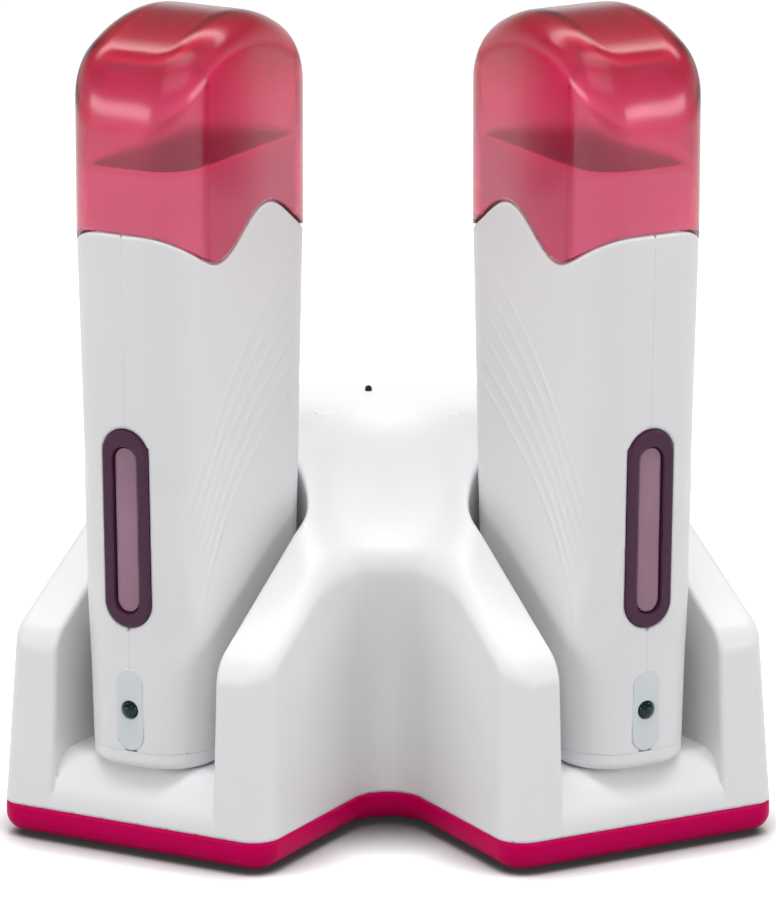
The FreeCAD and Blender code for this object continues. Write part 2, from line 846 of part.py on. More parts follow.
node("base_indicator_led", base_led())
node("base_led_spacer", led_spacer())
node("inlet_housing", inlet_housing())
node("inlet_pins", group(*inlet_rods("inlet_pin_radius", "inlet_pin_length", "inlet_pin_spacing / 2")))
node("base_cables", base_cables())

# ---- contact block in the floor of each bay ----


CONTACT_SPOTS = [("pin_spacing / 2", "0"), ("-pin_spacing / 2", "0")]


def contact_rods():
    """The two pins that a handset stands on, without their round tips."""
    return rods("pin_radius", "block_depth + pin_rise - pin_radius", CONTACT_SPOTS, "-block_depth")


def contact_block():
    """A block whose top is flush with the bay's floor, with a rim that bears on the floor from below."""
    middle = box("block_length", "block_width", "block_depth", 0, 0, "-block_depth")
    rim = box(
        "block_length + 2 * block_rim",
        "block_width + 2 * block_rim",
        "block_rim_height",
        0,
        0,
        "-base_wall - block_rim_height",
    )
    return cut(fuse(middle, rim), *contact_rods())


tips = [sphere("pin_radius", x, y, "pin_rise - pin_radius") for x, y in CONTACT_SPOTS]
pins = [fuse(rod, tip) for rod, tip in zip(contact_rods(), tips)]
pair("contact_block", dock(contact_block(), "bay_floor"))
pair("contact_pins", dock(group(*pins), "bay_floor"))

# ---- handset ----

FOOT_SCREW_SPOTS = [
    (x, y) for x in ("foot_screw_x", "-foot_screw_x") for y in ("foot_screw_y", "-foot_screw_y")
]
SOCKET_BORE = "(pin_radius + socket_clearance)"
FOOT_SEAT = "(foot_screw_recess + foot_screw_head_height)"
NECK = "(cap_wall + cap_clearance)"
COLLAR_STEP = "(%s - wave_swing)" % WAVE


def window_slot(back, front="2 * shell_wall"):
    """The outline of the window's frame, between two depths in the front wall."""
    return stadium("window_width", "window_bottom", "window_top", back, front)


def plate_slot(front):
    """The outline of the lamp's plate, from its seat forward."""
    return stadium("plate_width", "plate_bottom", "plate_top", "plate_proud - plate_thickness", front)


def led_rod(back, front):
    """The lamp's round stem between two depths."""
    return cylinder("led_radius", "(%s) - (%s)" % (front, back), back, 0, "led_height", "X")


def collar_block():
    """The outside of the mouth collar: a plug in the shells, and a neck that the cap goes over."""
    plug = handset_block("collar_plug", "shell_wall", COLLAR_BASE, COLLAR_STEP)
    root = handset_block("collar_root", NECK, COLLAR_STEP, "taper_height")
    neck = top_block("collar_neck", NECK + " + neck_step", "taper_height", MOUTH)
    return fuse(plug, root, neck)


def mouth_collar():
    """The white rim of the cartridge chamber, with a mouth that narrows down to the chamber."""
    mouth = section("taper_height", NECK + " + neck_step + mouth_rim")
    chamber = ("chamber_depth", "chamber_width")
    funnel = tapered_block("mouth", COLLAR_BASE, MOUTH, chamber, mouth, "chamber_radius")
    return cut(collar_block(), funnel)


def shells():
    """The two white halves of a handset, which meet on the plane through its narrow sides."""
    outside = handset_block("shell_outside", "0", "foot_band", WAVE + " + 2 * wave_swing")
    hollow = handset_block("shell_hollow", "shell_wall", "0", WAVE + " + 3 * wave_swing")
    room = handset_block("foot_room", "shell_wall", "foot_floor", "foot_boss_height")
    bosses = common(fuse(*rods("foot_boss_radius", "foot_boss_height", FOOT_SCREW_SPOTS)), room)
    pilots = rods("foot_screw_radius", FOOT_SEAT + " + foot_screw_grip", FOOT_SCREW_SPOTS)
    window = lean(window_slot("-2 * shell_wall"))
    plate = lean(plate_slot("2 * shell_wall"))
    lamp = lean(led_rod("-2 * shell_wall", "2 * shell_wall"))
    whole = cut(fuse(cut(outside, hollow), bosses), wave_block("above_wave", 0, True), collar_block())
    whole = cut(whole, window, plate, lamp, *pilots)
    inboard = common(whole, box(2 * CLEAR, CLEAR, 2 * CLEAR, 0, CLEAR / 2, 0))
    outboard = common(whole, box(2 * CLEAR, CLEAR, 2 * CLEAR, 0, -CLEAR / 2, 0))
    return inboard, outboard


def above_mouth(edge):
    """A test for edges that lie wholly above a handset's mouth."""
    return edge.BoundBox.ZMin > number(MOUTH)


def handset_cap():
    """The tinted lift-off cap, whose lower edge follows the wave a clearance above the shells."""
    start = WAVE + " - 2 * wave_swing"
    blocks = []
    for name, inset, low in (("cap_outside", "0", start), ("cap_inside", "cap_wall", start + " - %d" % PAST)):
        body = top_block(name, inset, low, CAP_TOP + " + %d" % PAST)
        crown = ("cap_crown_x", CAP_TOP + " - " + inset, "cap_crown_radius - " + inset)
        outline = above_arc(sketch(body, "XZ_Plane"), *crown, "top_depth / 2 + %d" % PAST, "2 * " + CAP_TOP)
        pocket_through(body, outline)
        rounded(body, above_mouth, "cap_edge_radius - " + inset)
        blocks.append(body)
    return cut(*blocks, wave_block("below_wave", "cap_clearance", False))


def heater_jacket():
    """The aluminium cup that the cartridge stands in, slotted behind the window."""
    size = ("chamber_depth", "chamber_width")
    outer = ("chamber_depth + 2 * jacket_wall", "chamber_width + 2 * jacket_wall")
    bottom = "chamber_floor - jacket_floor"
    wall = straight_block("jacket_outside", bottom, COLLAR_BASE, outer, "chamber_radius + jacket_wall")
    rim = COLLAR_BASE + " + %d" % PAST
    room = straight_block("jacket_inside", "chamber_floor", rim, size, "chamber_radius")
    slot = box(
        "chamber_depth / 2",
        "pane_width",
        "window_top - window_bottom - 2 * pane_margin",
        "chamber_depth / 2",
        0,
        "window_bottom + pane_margin",
    )
    return cut(wall, room, slot)


def foot_cover():
    """The plug that closes a handset from below and carries its two sockets."""
    outside = straight_block("foot_outside", "0", "foot_band", section("0", "0"), "section_radius")
    rounded(outside, level("0"), "foot_edge_radius")
    hollow = handset_block("foot_hollow", "shell_wall", "foot_floor", "foot_band + %d" % PAST)
    holes = rods(SOCKET_BORE + " + socket_wall", "foot_band", CONTACT_SPOTS)
    holes += rods("foot_screw_radius", "foot_band", FOOT_SCREW_SPOTS)
    holes += rods("foot_screw_head_radius", FOOT_SEAT, FOOT_SCREW_SPOTS)
    return cut(outside, hollow, *holes)


def contact_sockets():
    """Two brass sockets, closed at the top."""
    tubes = rods(SOCKET_BORE + " + socket_wall", "socket_height", CONTACT_SPOTS)
    bores = rods(SOCKET_BORE, "socket_height - socket_end", CONTACT_SPOTS)
    return group(*[cut(tube, bore) for tube, bore in zip(tubes, bores)])


def indicator_led():
    """The domed lamp: a flange inside the shell and a stem through the plate."""
    flange = cylinder(
        "led_flange_radius",
        "led_flange_height",
        "-shell_wall - led_flange_height",
        0,
        "led_height",
        "X",
    )
    dome = sphere("led_radius", "-led_centre_depth", 0, "led_height")
    return fuse(flange, led_rod("-shell_wall", "-led_centre_depth"), dome)


inboard_shell, outboard_shell = shells()
pair("inboard_shell", dock(inboard_shell))
pair("outboard_shell", dock(outboard_shell))
pair("cap", dock(handset_cap()))
pair("mouth_collar", dock(mouth_collar()))
pair("heater_jacket", dock(heater_jacket()))

heater_top = "chamber_floor - jacket_floor"
heater_base = heater_top + " - heater_height"
heater = box("heater_length", "heater_width", "heater_height", "heater_x", 0, heater_base)
thermostat = box(
    "thermostat_length",
    "thermostat_width",
    "thermostat_height",
    "thermostat_x",
    0,
    heater_top + " - thermostat_height",
)
pair("heating_element", dock(heater))
pair("thermostat", dock(thermostat))

pane_bottom = "window_bottom + pane_margin"
pane_top = "window_top - pane_margin"
frame = window_slot("-shell_wall", "window_proud")
opening = stadium("pane_width", pane_bottom, pane_top, "-2 * shell_wall", "2 * shell_wall")
pane = stadium("pane_width", pane_bottom, pane_top, "-pane_recess - pane_thickness", "-pane_recess")
pair("window_frame", dock(lean(cut(frame, opening))))
pair("window_pane", dock(lean(pane)))

plate = cut(plate_slot("plate_proud"), led_rod("-2 * shell_wall", "2 * shell_wall"))
pair("indicator_plate", dock(lean(plate)))
pair("indicator_led", dock(lean(indicator_led())))
led_board = box(
    "board_thickness",
    "led_board_width",
    "led_board_height",
    "-shell_wall - led_flange_height - board_thickness / 2",
    0,
    "led_height - led_board_height / 2",
)
pair("led_board", dock(lean(led_board)))

pair("foot_cover", dock(foot_cover()))
head = ("foot_screw_head_radius", "foot_screw_head_height")
stem = ("foot_screw_radius", "foot_screw_grip")
foot_screws = [screw(*head, *stem, x, y, FOOT_SEAT) for x, y in FOOT_SCREW_SPOTS]
pair("foot_screws", dock(group(*foot_screws)))
pair("contact_sockets", dock(contact_sockets()))
leads = rods("lead_radius", heater_base + " - socket_height", CONTACT_SPOTS, "socket_height")
pair("heater_leads", dock(group(*leads)))

# ---- check and write every piece ----

doc.recompute()
for thing in doc.Objects:
    if "Invalid" in thing.State or "Error" in thing.State:
        raise RuntimeError("%s (%s) failed" % (thing.Name, thing.Label))
os.makedirs("parts", exist_ok=True)
for name, piece in NODES.items():
    if piece.Shape.isNull() or not piece.Shape.isValid() or not piece.Shape.Solids:
        raise RuntimeError("%s has no valid solid" % name)
    piece.Shape.exportStep("parts/%s.step" % name)
    print("%-22s %d solid(s) %10.1f mm3" % (name, len(piece.Shape.Solids), piece.Shape.Volume))
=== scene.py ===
"""Looks of the twin roll-on wax heater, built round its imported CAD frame.

Moulded pieces are written as distance functions: a function of points that is negative inside the piece.
Sizes in them are millimetres; carve() turns each into a mesh in metres. The left side is written out, and
the right side is its mirror image in x, as in the frame.
"""

import math

import bpy
import numpy as np
import openvdb
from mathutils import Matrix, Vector


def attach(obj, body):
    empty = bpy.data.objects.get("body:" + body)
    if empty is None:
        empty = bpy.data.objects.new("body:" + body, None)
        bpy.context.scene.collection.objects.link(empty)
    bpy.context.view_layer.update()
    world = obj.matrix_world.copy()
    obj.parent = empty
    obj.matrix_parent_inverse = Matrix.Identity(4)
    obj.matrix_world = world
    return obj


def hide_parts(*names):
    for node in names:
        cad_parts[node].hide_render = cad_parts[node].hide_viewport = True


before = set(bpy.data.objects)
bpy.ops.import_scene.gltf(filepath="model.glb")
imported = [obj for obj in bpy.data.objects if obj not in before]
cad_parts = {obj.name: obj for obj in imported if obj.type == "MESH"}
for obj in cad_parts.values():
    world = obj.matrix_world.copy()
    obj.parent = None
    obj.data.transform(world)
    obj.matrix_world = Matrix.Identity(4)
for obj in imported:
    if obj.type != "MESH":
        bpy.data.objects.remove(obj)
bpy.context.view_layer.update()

MM = 0.001

# ---- sizes, in millimetres; plan directions are those of the arms ----

ARM = math.radians(29)
FRONT, OUTER, NOTCH, REAR = 77.1, 79.3, 4.9, 66.9
FRONT_OUTER_RADIUS, FRONT_NOTCH_RADIUS, NOTCH_RADIUS, REAR_RADIUS = 6, 8, 10.3, 16
DRAFT = math.tan(math.radians(3))
NOTCH_DRAFT = 0.4  # share of the draft that the notch's walls have
RUBBER_GAP, TRAY_TOP, BAY_FLOOR, FRONT_TOP, LEDGE = 1.2, 9.5, 25.2, 56, 105
RAMP = math.radians(31.8)
LEDGE_BLEND = 9
# how the top edge's rounding grows from the outer side inward
TOP_EDGE_PLACES, TOP_EDGE_RADII = (-76, -8), (3.5, 4.8)
BASE_WALL = 2.4

VALLEY_Y, VALLEY_HEIGHT, VALLEY_BEND = -9, 79.6, 0.023
VALLEY_SLOPES = 0.25, 0.63
VALLEY_TURN, VALLEY_BLEND = 6, 6

DOCK_FORWARD, DOCK_INWARD, DOCK_LIFT = 43.3, -36.7, 25.5
BAY_WIDTH, BAY_DEPTH, BAY_RADIUS = 50, 36.9, 24.5
BAY_LIP, LIP_SPREAD = 14, 1.5  # how far the lip is rounded down, and how many times that is the way back
BAY_EDGE = 1.3

COLUMN_RADIUS, COLUMN_PILOT, COLUMN_PILOT_DEPTH = 4, 1.5, 9
POST_RADIUS, POST_BOTTOM, POST_PILOT, POST_PILOT_TOP = 3, 89.6, 1.1, 95
COLUMN_SINK = 1  # how far columns and posts end below the skin
CONTACT_HALVES, CONTACT_HEAD = (13, 6), 3
INLET_HALVES, INLET_HEIGHT, INLET_FRONT, INLET_CORNER = (10.5, 6.5), 26, 50, 0.3
LAMP_RADIUS, LAMP_DEPTH = 1, 8
GROOVE_CENTRE, GROOVE_SWEEP, GROOVE_RADIUS, GROOVE_LIFT = -30.9, 61, 1.1, 0.2
GROOVE_REACH, GROOVE_BLEND = 20, 0.6
SHELL_FOOT_EDGE = 0.5

TRAY_WALL, TRAY_FLOOR, TRAY_BOTTOM_EDGE, TRAY_TOP_EDGE = 2.4, 2.5, 5, 0.4
COUNTERBORE, COUNTERBORE_DEPTH = 2.9, 3.4
RUBBER_RADIUS, RUBBER_SEAT = 6, 0.8
HOLE_EDGE = 0.2

FOOT_DEPTH, FOOT_WIDTH, TOP_DEPTH, TOP_WIDTH, TAPER = 67.6, 35.4, 74, 39.8, 150
SECTION_RADIUS, SHELL_WALL, FOOT_BAND = 14.4, 2.1, 4.7
SHELL_RIM, BAND_GAP, BAND_EDGE = 1.05, 0.01, 0.08
SEAM_HALF, SEAM_EDGE = 0.005, 0.05
BOSS_X, BOSS_Y, BOSS_RADIUS, BOSS_TOP, BOSS_GRIP = 18.5, 12.2, 4.2, 15, 0.2
FOOT_PILOT, FOOT_PILOT_TOP, FOOT_ROOM = 1.3, 9.8, 2.6
COVER_FLOOR, COVER_EDGE, SCREW_HEAD, SCREW_HEAD_DEPTH = 2.5, 2.2, 2.4, 1.8
SOCKETS, SOCKET_RADIUS = [(-9, 0), (9, 0)], 2.61

RIBS, RIB_HEIGHT, RIB_WIDTH = 6, 0.26, 0.9
# the first rib's values, and how they change up to the last
RIB_FOOT, RIB_RISE, RIB_BEND = (31, -5.5), (60, -20), (0.0092, 0.0050)
RIB_FOOT_FADE, RIB_TIP_FADE = (12, 3), (-24, 2.5)  # place and length

CAP_TOP, CAP_WALL, CAP_EDGE, CAP_GAP, CAP_RIM = 203.8, 1.8, 10, 0.3, 0.45
CAP_EXTRA_PLACES, CAP_EXTRA = (164, 200), (0, 1.5)  # what the wall gains towards the top
CROWN_RADIUS, CROWN_X = 52, 1.5
WAVE_MIDDLE, WAVE_SWING, WAVE_LENGTH, WAVE_TROUGH = 145.2, 5.8, 51, 18.3
COLLAR_BASE, MOUTH, COLLAR_STEP, COLLAR_EDGE, MOUTH_EDGE = 128, 166, 0.2, 2.2, 0.4
# CHAMBER_SHADE_DROP: how far under the mouth the painted shade on the chamber's walls begins
CHAMBER_HALVES, MOUTH_HALVES, CHAMBER_RADIUS, CHAMBER_SHADE_DROP = (27, 14.5), (32.3, 15.2), 9.5, 0.6

# upright slots: width, bottom and top
WINDOW = (14.3, 39.7, 95.3)
PANE = (6.9, 44.1, 90)
PLATE = (8.2, 5, 28)
FRONT_CUT, WINDOW_EDGE = 6, 0.4
FRAME_GAP, FRAME_PROUD, FRAME_EDGE, FRAME_INNER_EDGE = 0.05, 0.5, 0.8, 0.3
DISH_DEPTH, DISH_SLOPE = 1.2, 0.3
PANE_SINK, PANE_DOME, PANE_EDGE, PANE_BACK = 0.3, 0.02, 0.25, 1.9
PLATE_SEAT = 0.25  # how far the plate's rim reaches over the body round its slot
PLATE_SINK, PLATE_GAP, PLATE_PROUD, PLATE_EDGE, PLATE_CUT_EDGE = 0.7, 0.01, 0.2, 0.15, 0.08
LED_HEIGHT, LED_RADIUS, LED_GAP, LED_FLANGE, LED_FLANGE_HALF = 16.5, 2.5, 0.05, 2.9, 0.5
LED_FLANGE_EDGE = 0.2


# ---- distance functions ----


def arris(a, b, radius, lean=0.0):
    """Where both a and b are negative, with the edge between them rounded.
    Lean is the cosine of the angle between the directions in which the two grow."""
    a, b = a + radius, b + radius
    edge = np.sqrt(np.maximum(a * a + b * b - 2 * a * b * lean, 0) / (1 - lean * lean))
    return np.where((a > lean * b) & (b > lean * a), edge, np.maximum(a, b)) - radius


def soft(a, b, reach):
    """Where both a and b are negative, with a long gentle blend between them."""
    near = np.maximum(reach - np.abs(a - b), 0) / reach
    return np.maximum(a, b) + near * near * reach / 4


def without(solid, hole, radius=0.0):
    """The solid with a hole in it, whose edge is rounded."""
    return arris(solid, -hole, radius) if radius else np.maximum(solid, -hole)


def rounded_rectangle(x, y, half_x, half_y, radius):
    return arris(np.abs(x) - half_x, np.abs(y) - half_y, radius)


def stadium(across, up, width, bottom, top):
    """An upright slot shape with round ends."""
    middle, reach = (bottom + top) / 2, (top - bottom - width) / 2
    return np.hypot(across, np.maximum(np.abs(up - middle) - reach, 0)) - width / 2


def rods(x, y, radius, spots):
    """Upright rods at several places."""
    return np.minimum.reduce([np.hypot(x - spot[0], y - spot[1]) - radius for spot in spots])


# ---- meshes ----

PROBE = 0.01  # mm, step for slopes
STEEPNESS = 0.25  # the least that a slope's square counts for
MARGIN, FAR_MARGIN = 2.5, 3  # room before and behind a piece, in cells
BAND = 3  # how far from the surface distances are kept, in cells
STRIDE = 0.5  # the furthest that a point is moved at once, in cells
OWN_CELL = 0.6  # how far from its cell's middle a corner may be drawn, in cells
SHARP_TURN = 0.75  # cosine of the turn between neighbours from which on an edge is sharp
HOLD = 0.05  # how strongly a corner keeps its place when it is drawn to an edge
INWARD = 0.15  # how far from a corner to its face's middle the corner's direction is taken
SMOOTH = 0.93  # cosine of the turn up to which the faces at a corner share a direction


def slope_of(distance, points):
    """The gradient of a distance function at some points."""
    parts = []
    for axis in range(3):
        step = np.zeros(3)
        step[axis] = PROBE
        ahead, behind = distance(*(points + step).T), distance(*(points - step).T)
        parts.append((ahead - behind) / (2 * PROBE))
    return np.stack(parts, axis=1)


def unit(vectors):
    """Vectors brought to length 1."""
    return vectors / np.maximum(np.linalg.norm(vectors, axis=1), 1e-9)[:, None]


def settled(distance, points, voxel, rounds):
    """Points near a surface, moved onto it."""
    for _ in range(rounds):
        slope = slope_of(distance, points)
        steepness = np.maximum((slope * slope).sum(axis=1), STEEPNESS)
        move = slope * (distance(*points.T) / steepness)[:, None]
        points = points - np.clip(move, -STRIDE * voxel, STRIDE * voxel)
    return points


def summed(values, places, count):
    """Rows of values added up by the place that each belongs to."""
    return np.stack([np.bincount(places, column, minlength=count) for column in values.T], axis=1)


def sharpened(distance, points, faces, voxel):
    """Points beside a sharp edge, moved onto it: to where the faces at their neighbours would meet."""
    sides = [np.stack([kind, np.roll(kind, 1, axis=1)], axis=2) for kind in faces]
    sides = np.concatenate([kind.reshape(-1, 2) for kind in sides])
    ends, others = np.concatenate([sides, sides[:, ::-1]]).T
    way = unit(slope_of(distance, points))
    planes = (way[:, :, None] * way[:, None, :]).reshape(-1, 9)
    offsets = way * (way * points).sum(axis=1)[:, None]
    turn = np.ones(len(points))
    np.minimum.at(turn, ends, (way[ends] * way[others]).sum(axis=1))
    matrix = planes + summed(planes[others], ends, len(points)) + HOLD * np.eye(3).reshape(9)
    target = offsets + summed(offsets[others], ends, len(points)) + HOLD * points
    edge = np.linalg.solve(matrix.reshape(-1, 3, 3), target[:, :, None])[:, :, 0]
    return np.where(turn[:, None] < SHARP_TURN, edge, points)


def corner_normals(distance, points, faces):
    """A direction at each face's corners, shared where the surface is smooth apart at a sharp edge."""
    spots = [points[kind] for kind in faces]
    spots = [kind * (1 - INWARD) + kind.mean(axis=1, keepdims=True) * INWARD for kind in spots]
    apart = unit(slope_of(distance, np.concatenate([kind.reshape(-1, 3) for kind in spots])))
    corners = np.concatenate([kind.reshape(-1) for kind in faces])
    shared = unit(summed(apart, corners, len(points)))
    likeness = np.ones(len(points))
    np.minimum.at(likeness, corners, (apart * shared[corners]).sum(axis=1))
    normals = np.where(likeness[corners][:, None] > SMOOTH, shared[corners], apart)
    cuts = np.cumsum([kind.size for kind in faces])[:-1]
    return [part.reshape(*kind.shape, 3) for part, kind in zip(np.split(normals, cuts), faces)]


def carve(distance, low, high, voxel):
    """The surface where a distance function is zero: its corners, its faces (triangles apart from quads)
    and a direction at each face's corners. The surface is first found on a grid, then its corners are
    drawn onto the exact shape and its edges."""
    start = np.array(low, float) - MARGIN * voxel
    axes = [np.arange(first, last + FAR_MARGIN * voxel, voxel) for first, last in zip(start, high)]
    field = distance(*np.meshgrid(*axes, indexing="ij"))
    grid = openvdb.FloatGrid(BAND * voxel)
    grid.copyFromArray(np.clip(field, -BAND * voxel, BAND * voxel).astype(np.float32))
    found, triangles, quads = grid.convertToPolygons(isovalue=0.0)
    faces = [kind.astype(int) for kind in (triangles, quads) if len(kind)]
    cells = np.floor(found) + 0.5
    points = settled(distance, found.astype(float) * voxel + start, voxel, 4)
    edge = sharpened(distance, points, faces, voxel)
    own = np.abs((edge - start) / voxel - cells).max(axis=1) < OWN_CELL
    points = settled(distance, np.where(own[:, None], edge, points), voxel, 2)
    a, b, c = (points[faces[-1][:, corner]] for corner in range(3))
    if (np.cross(b - a, c - a) * slope_of(distance, (a + b + c) / 3)).sum() < 0:
        faces = [kind[:, ::-1] for kind in faces]
    return points, faces, corner_normals(distance, points, faces)


def solid(name, carved, finish, body, replaced, slot=None):
    """A piece made from a carved surface; it stands for a CAD node."""
    points, faces, normals = carved
    mesh = bpy.data.meshes.new(name)
    mesh.from_pydata((points * MM).tolist(), [], [face for kind in faces for face in kind.tolist()])
    mesh.polygons.foreach_set("use_smooth", np.ones(len(mesh.polygons), bool))
    mesh.normals_split_custom_set([way for kind in normals for way in kind.reshape(-1, 3).tolist()])
    mesh.materials.append(MATERIALS[finish])
    piece = bpy.data.objects.new(name, mesh)
    bpy.context.scene.collection.objects.link(piece)
    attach(piece, body)
    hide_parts(replaced)
    return piece


def second_finish(piece, faces, finish):
    """A second finish on some of a piece's faces."""
    piece.data.materials.append(MATERIALS[finish])
    piece.data.polygons.foreach_set("material_index", faces.astype(np.int32))


def mirrored(carved, axis):
    """A carved surface's mirror image."""
    points, faces, normals = carved
    flip = np.ones(3)
    flip[axis] = -1
    return points * flip, [kind[:, ::-1] for kind in faces], [kind[:, ::-1] * flip for kind in normals]


def docked(carved):
    """A handset's piece, drawn about its own axis with x forward and y inward, stood in the left bay."""
    points, faces, normals = carved
    forward = np.array([-math.sin(ARM), -math.cos(ARM), 0])
    inward = np.array([math.cos(ARM), -math.sin(ARM), 0])
    turn = np.array([forward, inward, [0, 0, 1]])
    foot = DOCK_FORWARD * forward + DOCK_INWARD * inward + np.array([0, 0, DOCK_LIFT])
    return points @ turn + foot, faces, [kind @ turn for kind in normals]


def handset_pair(piece, carved, finish, moves="handset", slot=None):
    """A handset's piece in the left bay and its mirror image in the right one."""
    left = docked(carved)
    pair = []  # left, then right
    for side, shape in (("left", left), ("right", mirrored(left, 0))):
        node = "%s_%s" % (side, piece)
        pair.append(solid(node + "_moulded", shape, finish, "%s_%s" % (side, moves), node, slot))
    return pair


# ---- materials ----


def linear(red, green, blue):
    """An sRGB colour, from 0 to 255, as the linear values that a shader takes."""
    parts = [part / 255 for part in (red, green, blue)]
    return (*[part / 12.92 if part < 0.04 else ((part + 0.055) / 1.055) ** 2.4 for part in parts], 1)


def noise(tree, scale, detail=2.0):
    """Noise over the piece; the scale is in waves per metre."""
    place = tree.nodes.new("ShaderNodeTexCoord")
    texture = tree.nodes.new("ShaderNodeTexNoise")
    texture.inputs["Scale"].default_value = scale
    texture.inputs["Detail"].default_value = detail
    tree.links.new(place.outputs["Object"], texture.inputs["Vector"])
    return texture.outputs["Fac"]


def ranged(tree, source, low, high, bottom=0.3, top=0.7):
    """Values brought from the range of bottom to top, here that of most noise, into that of low to high."""
    node = tree.nodes.new("ShaderNodeMapRange")
    node.inputs["From Min"].default_value = bottom
    node.inputs["From Max"].default_value = top
    node.inputs["To Min"].default_value = low
    node.inputs["To Max"].default_value = high
    tree.links.new(source, node.inputs["Value"])
    return node.outputs["Result"]


CLOUDS, CLOUD_DETAIL = 45, 3  # waves per metre of the mottling
GLOSS_SPREAD = 0.9, 1.1  # how roughness varies, as shares
BUMP = 0.5


def moulded(name, colour, roughness, grain=2500, depth=0.02, mottle=0.04, **sockets):
    """A finish with a fine grain, in waves per metre and millimetres, and with colour and gloss that vary a
    little over the piece."""
    made = bpy.data.materials.new(name)
    made.use_nodes = True
    tree = made.node_tree
    shader = tree.nodes["Principled BSDF"]
    cloudy = noise(tree, CLOUDS, CLOUD_DETAIL)
    blend = tree.nodes.new("ShaderNodeMix")
    blend.data_type = "RGBA"
    blend.inputs["A"].default_value = colour
    blend.inputs["B"].default_value = (*[part * (1 - mottle) for part in colour[:3]], 1)
    tree.links.new(ranged(tree, cloudy, 0, 1), blend.inputs["Factor"])
    tree.links.new(blend.outputs["Result"], shader.inputs["Base Color"])
    least, most = GLOSS_SPREAD
    tree.links.new(ranged(tree, cloudy, roughness * least, roughness * most), shader.inputs["Roughness"])
    bump = tree.nodes.new("ShaderNodeBump")
    bump.inputs["Strength"].default_value = BUMP
    bump.inputs["Distance"].default_value = depth * MM
    tree.links.new(noise(tree, grain), bump.inputs["Height"])
    tree.links.new(bump.outputs["Normal"], shader.inputs["Normal"])
    for socket, value in sockets.items():
        shader.inputs[socket.replace("_", " ")].default_value = value
    return made


def tinted(name, colour, density, **settings):
    """A clear finish whose colour deepens with the length of plastic that light goes through."""
    made = moulded(name, CLEAR, Transmission_Weight=1.0, IOR=1.46, **settings)
    tint = made.node_tree.nodes.new("ShaderNodeVolumeAbsorption")
    tint.inputs["Color"].default_value = colour
    tint.inputs["Density"].default_value = density
    made.node_tree.links.new(tint.outputs[0], made.node_tree.nodes["Material Output"].inputs["Volume"])
    return made


CLEAR = (0.98, 0.95, 0.96, 1)
WHITE = (0.83, 0.83, 0.845, 1)
# painted light: the collar's white is brighter than the housing's, standing in for light that comes in
# through the cap
COLLAR_LIT_WHITE = (0.97, 0.95, 0.96, 1)
CRIMSON = (0.60, 0.0, 0.095, 1)
CAP_TINT = (0.884, 0.144, 0.417, 1)

MATERIALS = {
    "white_plastic": moulded("white_plastic", WHITE, 0.42, depth=0.03, mottle=0.015),
    # painted light: the collar's brightened white
    "collar_plastic_painted_light": moulded("collar_plastic_painted_light", COLLAR_LIT_WHITE, 0.3, mottle=0.01),
    # painted shade: the chamber's walls get a darker, duller pinkish grey than the collar
    "chamber_painted_shade": moulded("chamber_painted_shade", linear(204, 190, 196), 0.6, Specular_IOR_Level=0.2),
    "crimson_plastic": moulded("crimson_plastic", CRIMSON, 0.4, Specular_IOR_Level=0.05),
    "tinted_cap": tinted("tinted_cap", CAP_TINT, 720, roughness=0.18, depth=0.004),
    "window_frame": moulded("window_frame", linear(64, 22, 54), 0.3, depth=0.01, Specular_IOR_Level=0.25),
    "window_pane": moulded(
        "window_pane", linear(158, 118, 140), 0.2, depth=0.008, mottle=0.2, Specular_IOR_Level=0.35
    ),
    "plate_grey": moulded("plate_grey", linear(220, 226, 230), 0.4),
    "green_lamp": moulded("green_lamp", linear(0, 34, 33), 0.15, depth=0.004, Specular_IOR_Level=0.25),
    "foot_rubber": moulded("foot_rubber", linear(34, 34, 36), 0.8, grain=900, depth=0.08, mottle=0.2),
    "steel": moulded("steel", linear(190, 190, 194), 0.3, grain=1600, mottle=0.1, Metallic=1.0),
    "brass": moulded("brass", linear(212, 176, 96), 0.25, mottle=0.1, Metallic=1.0),
    "aluminium": moulded("aluminium", linear(214, 214, 218), 0.4, mottle=0.1, Metallic=1.0),
    "heater_steel": moulded("heater_steel", linear(150, 148, 146), 0.5, mottle=0.2, Metallic=1.0),
    "circuit_board": moulded("circuit_board", linear(18, 96, 52), 0.35, grain=700, mottle=0.3),
    "black_plastic": moulded("black_plastic", linear(24, 24, 26), 0.5, depth=0.05, mottle=0.15),
    "cable": moulded("cable", linear(44, 44, 46), 0.6, grain=1200, depth=0.04, mottle=0.15),
}


# ---- base ----


def arm_way(x, y):
    """Distances forward along the left arm and inward across it; the right arm is its mirror image."""
    x = -np.abs(x)
    return -math.sin(ARM) * x - math.cos(ARM) * y, math.cos(ARM) * x - math.sin(ARM) * y


def arm_spot(forward, inward):
    """The plan point of the left arm at those distances."""
    x = -math.sin(ARM) * forward + math.cos(ARM) * inward
    y = -math.cos(ARM) * forward - math.sin(ARM) * inward
    return x, y


def base_plan(x, y, draft=0.0, inset=0.0):
    """The base's outline in plan. Draft moves the sides in, and inset makes a parallel outline inside."""
    forward, inward = arm_way(x, y)
    shift = draft + inset
    front, outer, rear = forward - FRONT + shift, -inward - OUTER + shift, y - REAR + shift
    round_in = NOTCH_RADIUS + inset
    reach = NOTCH - draft * NOTCH_DRAFT - inset + round_in
    centre = -reach / math.sin(ARM)
    before = forward + math.cos(ARM) * centre > 0
    notch = round_in - np.where(before, reach - inward, np.hypot(x, y - centre))
    sides = arris(front, outer, FRONT_OUTER_RADIUS)
    sides = arris(sides, notch, FRONT_NOTCH_RADIUS)
    return arris(sides, rear, REAR_RADIUS, lean=math.sin(ARM))


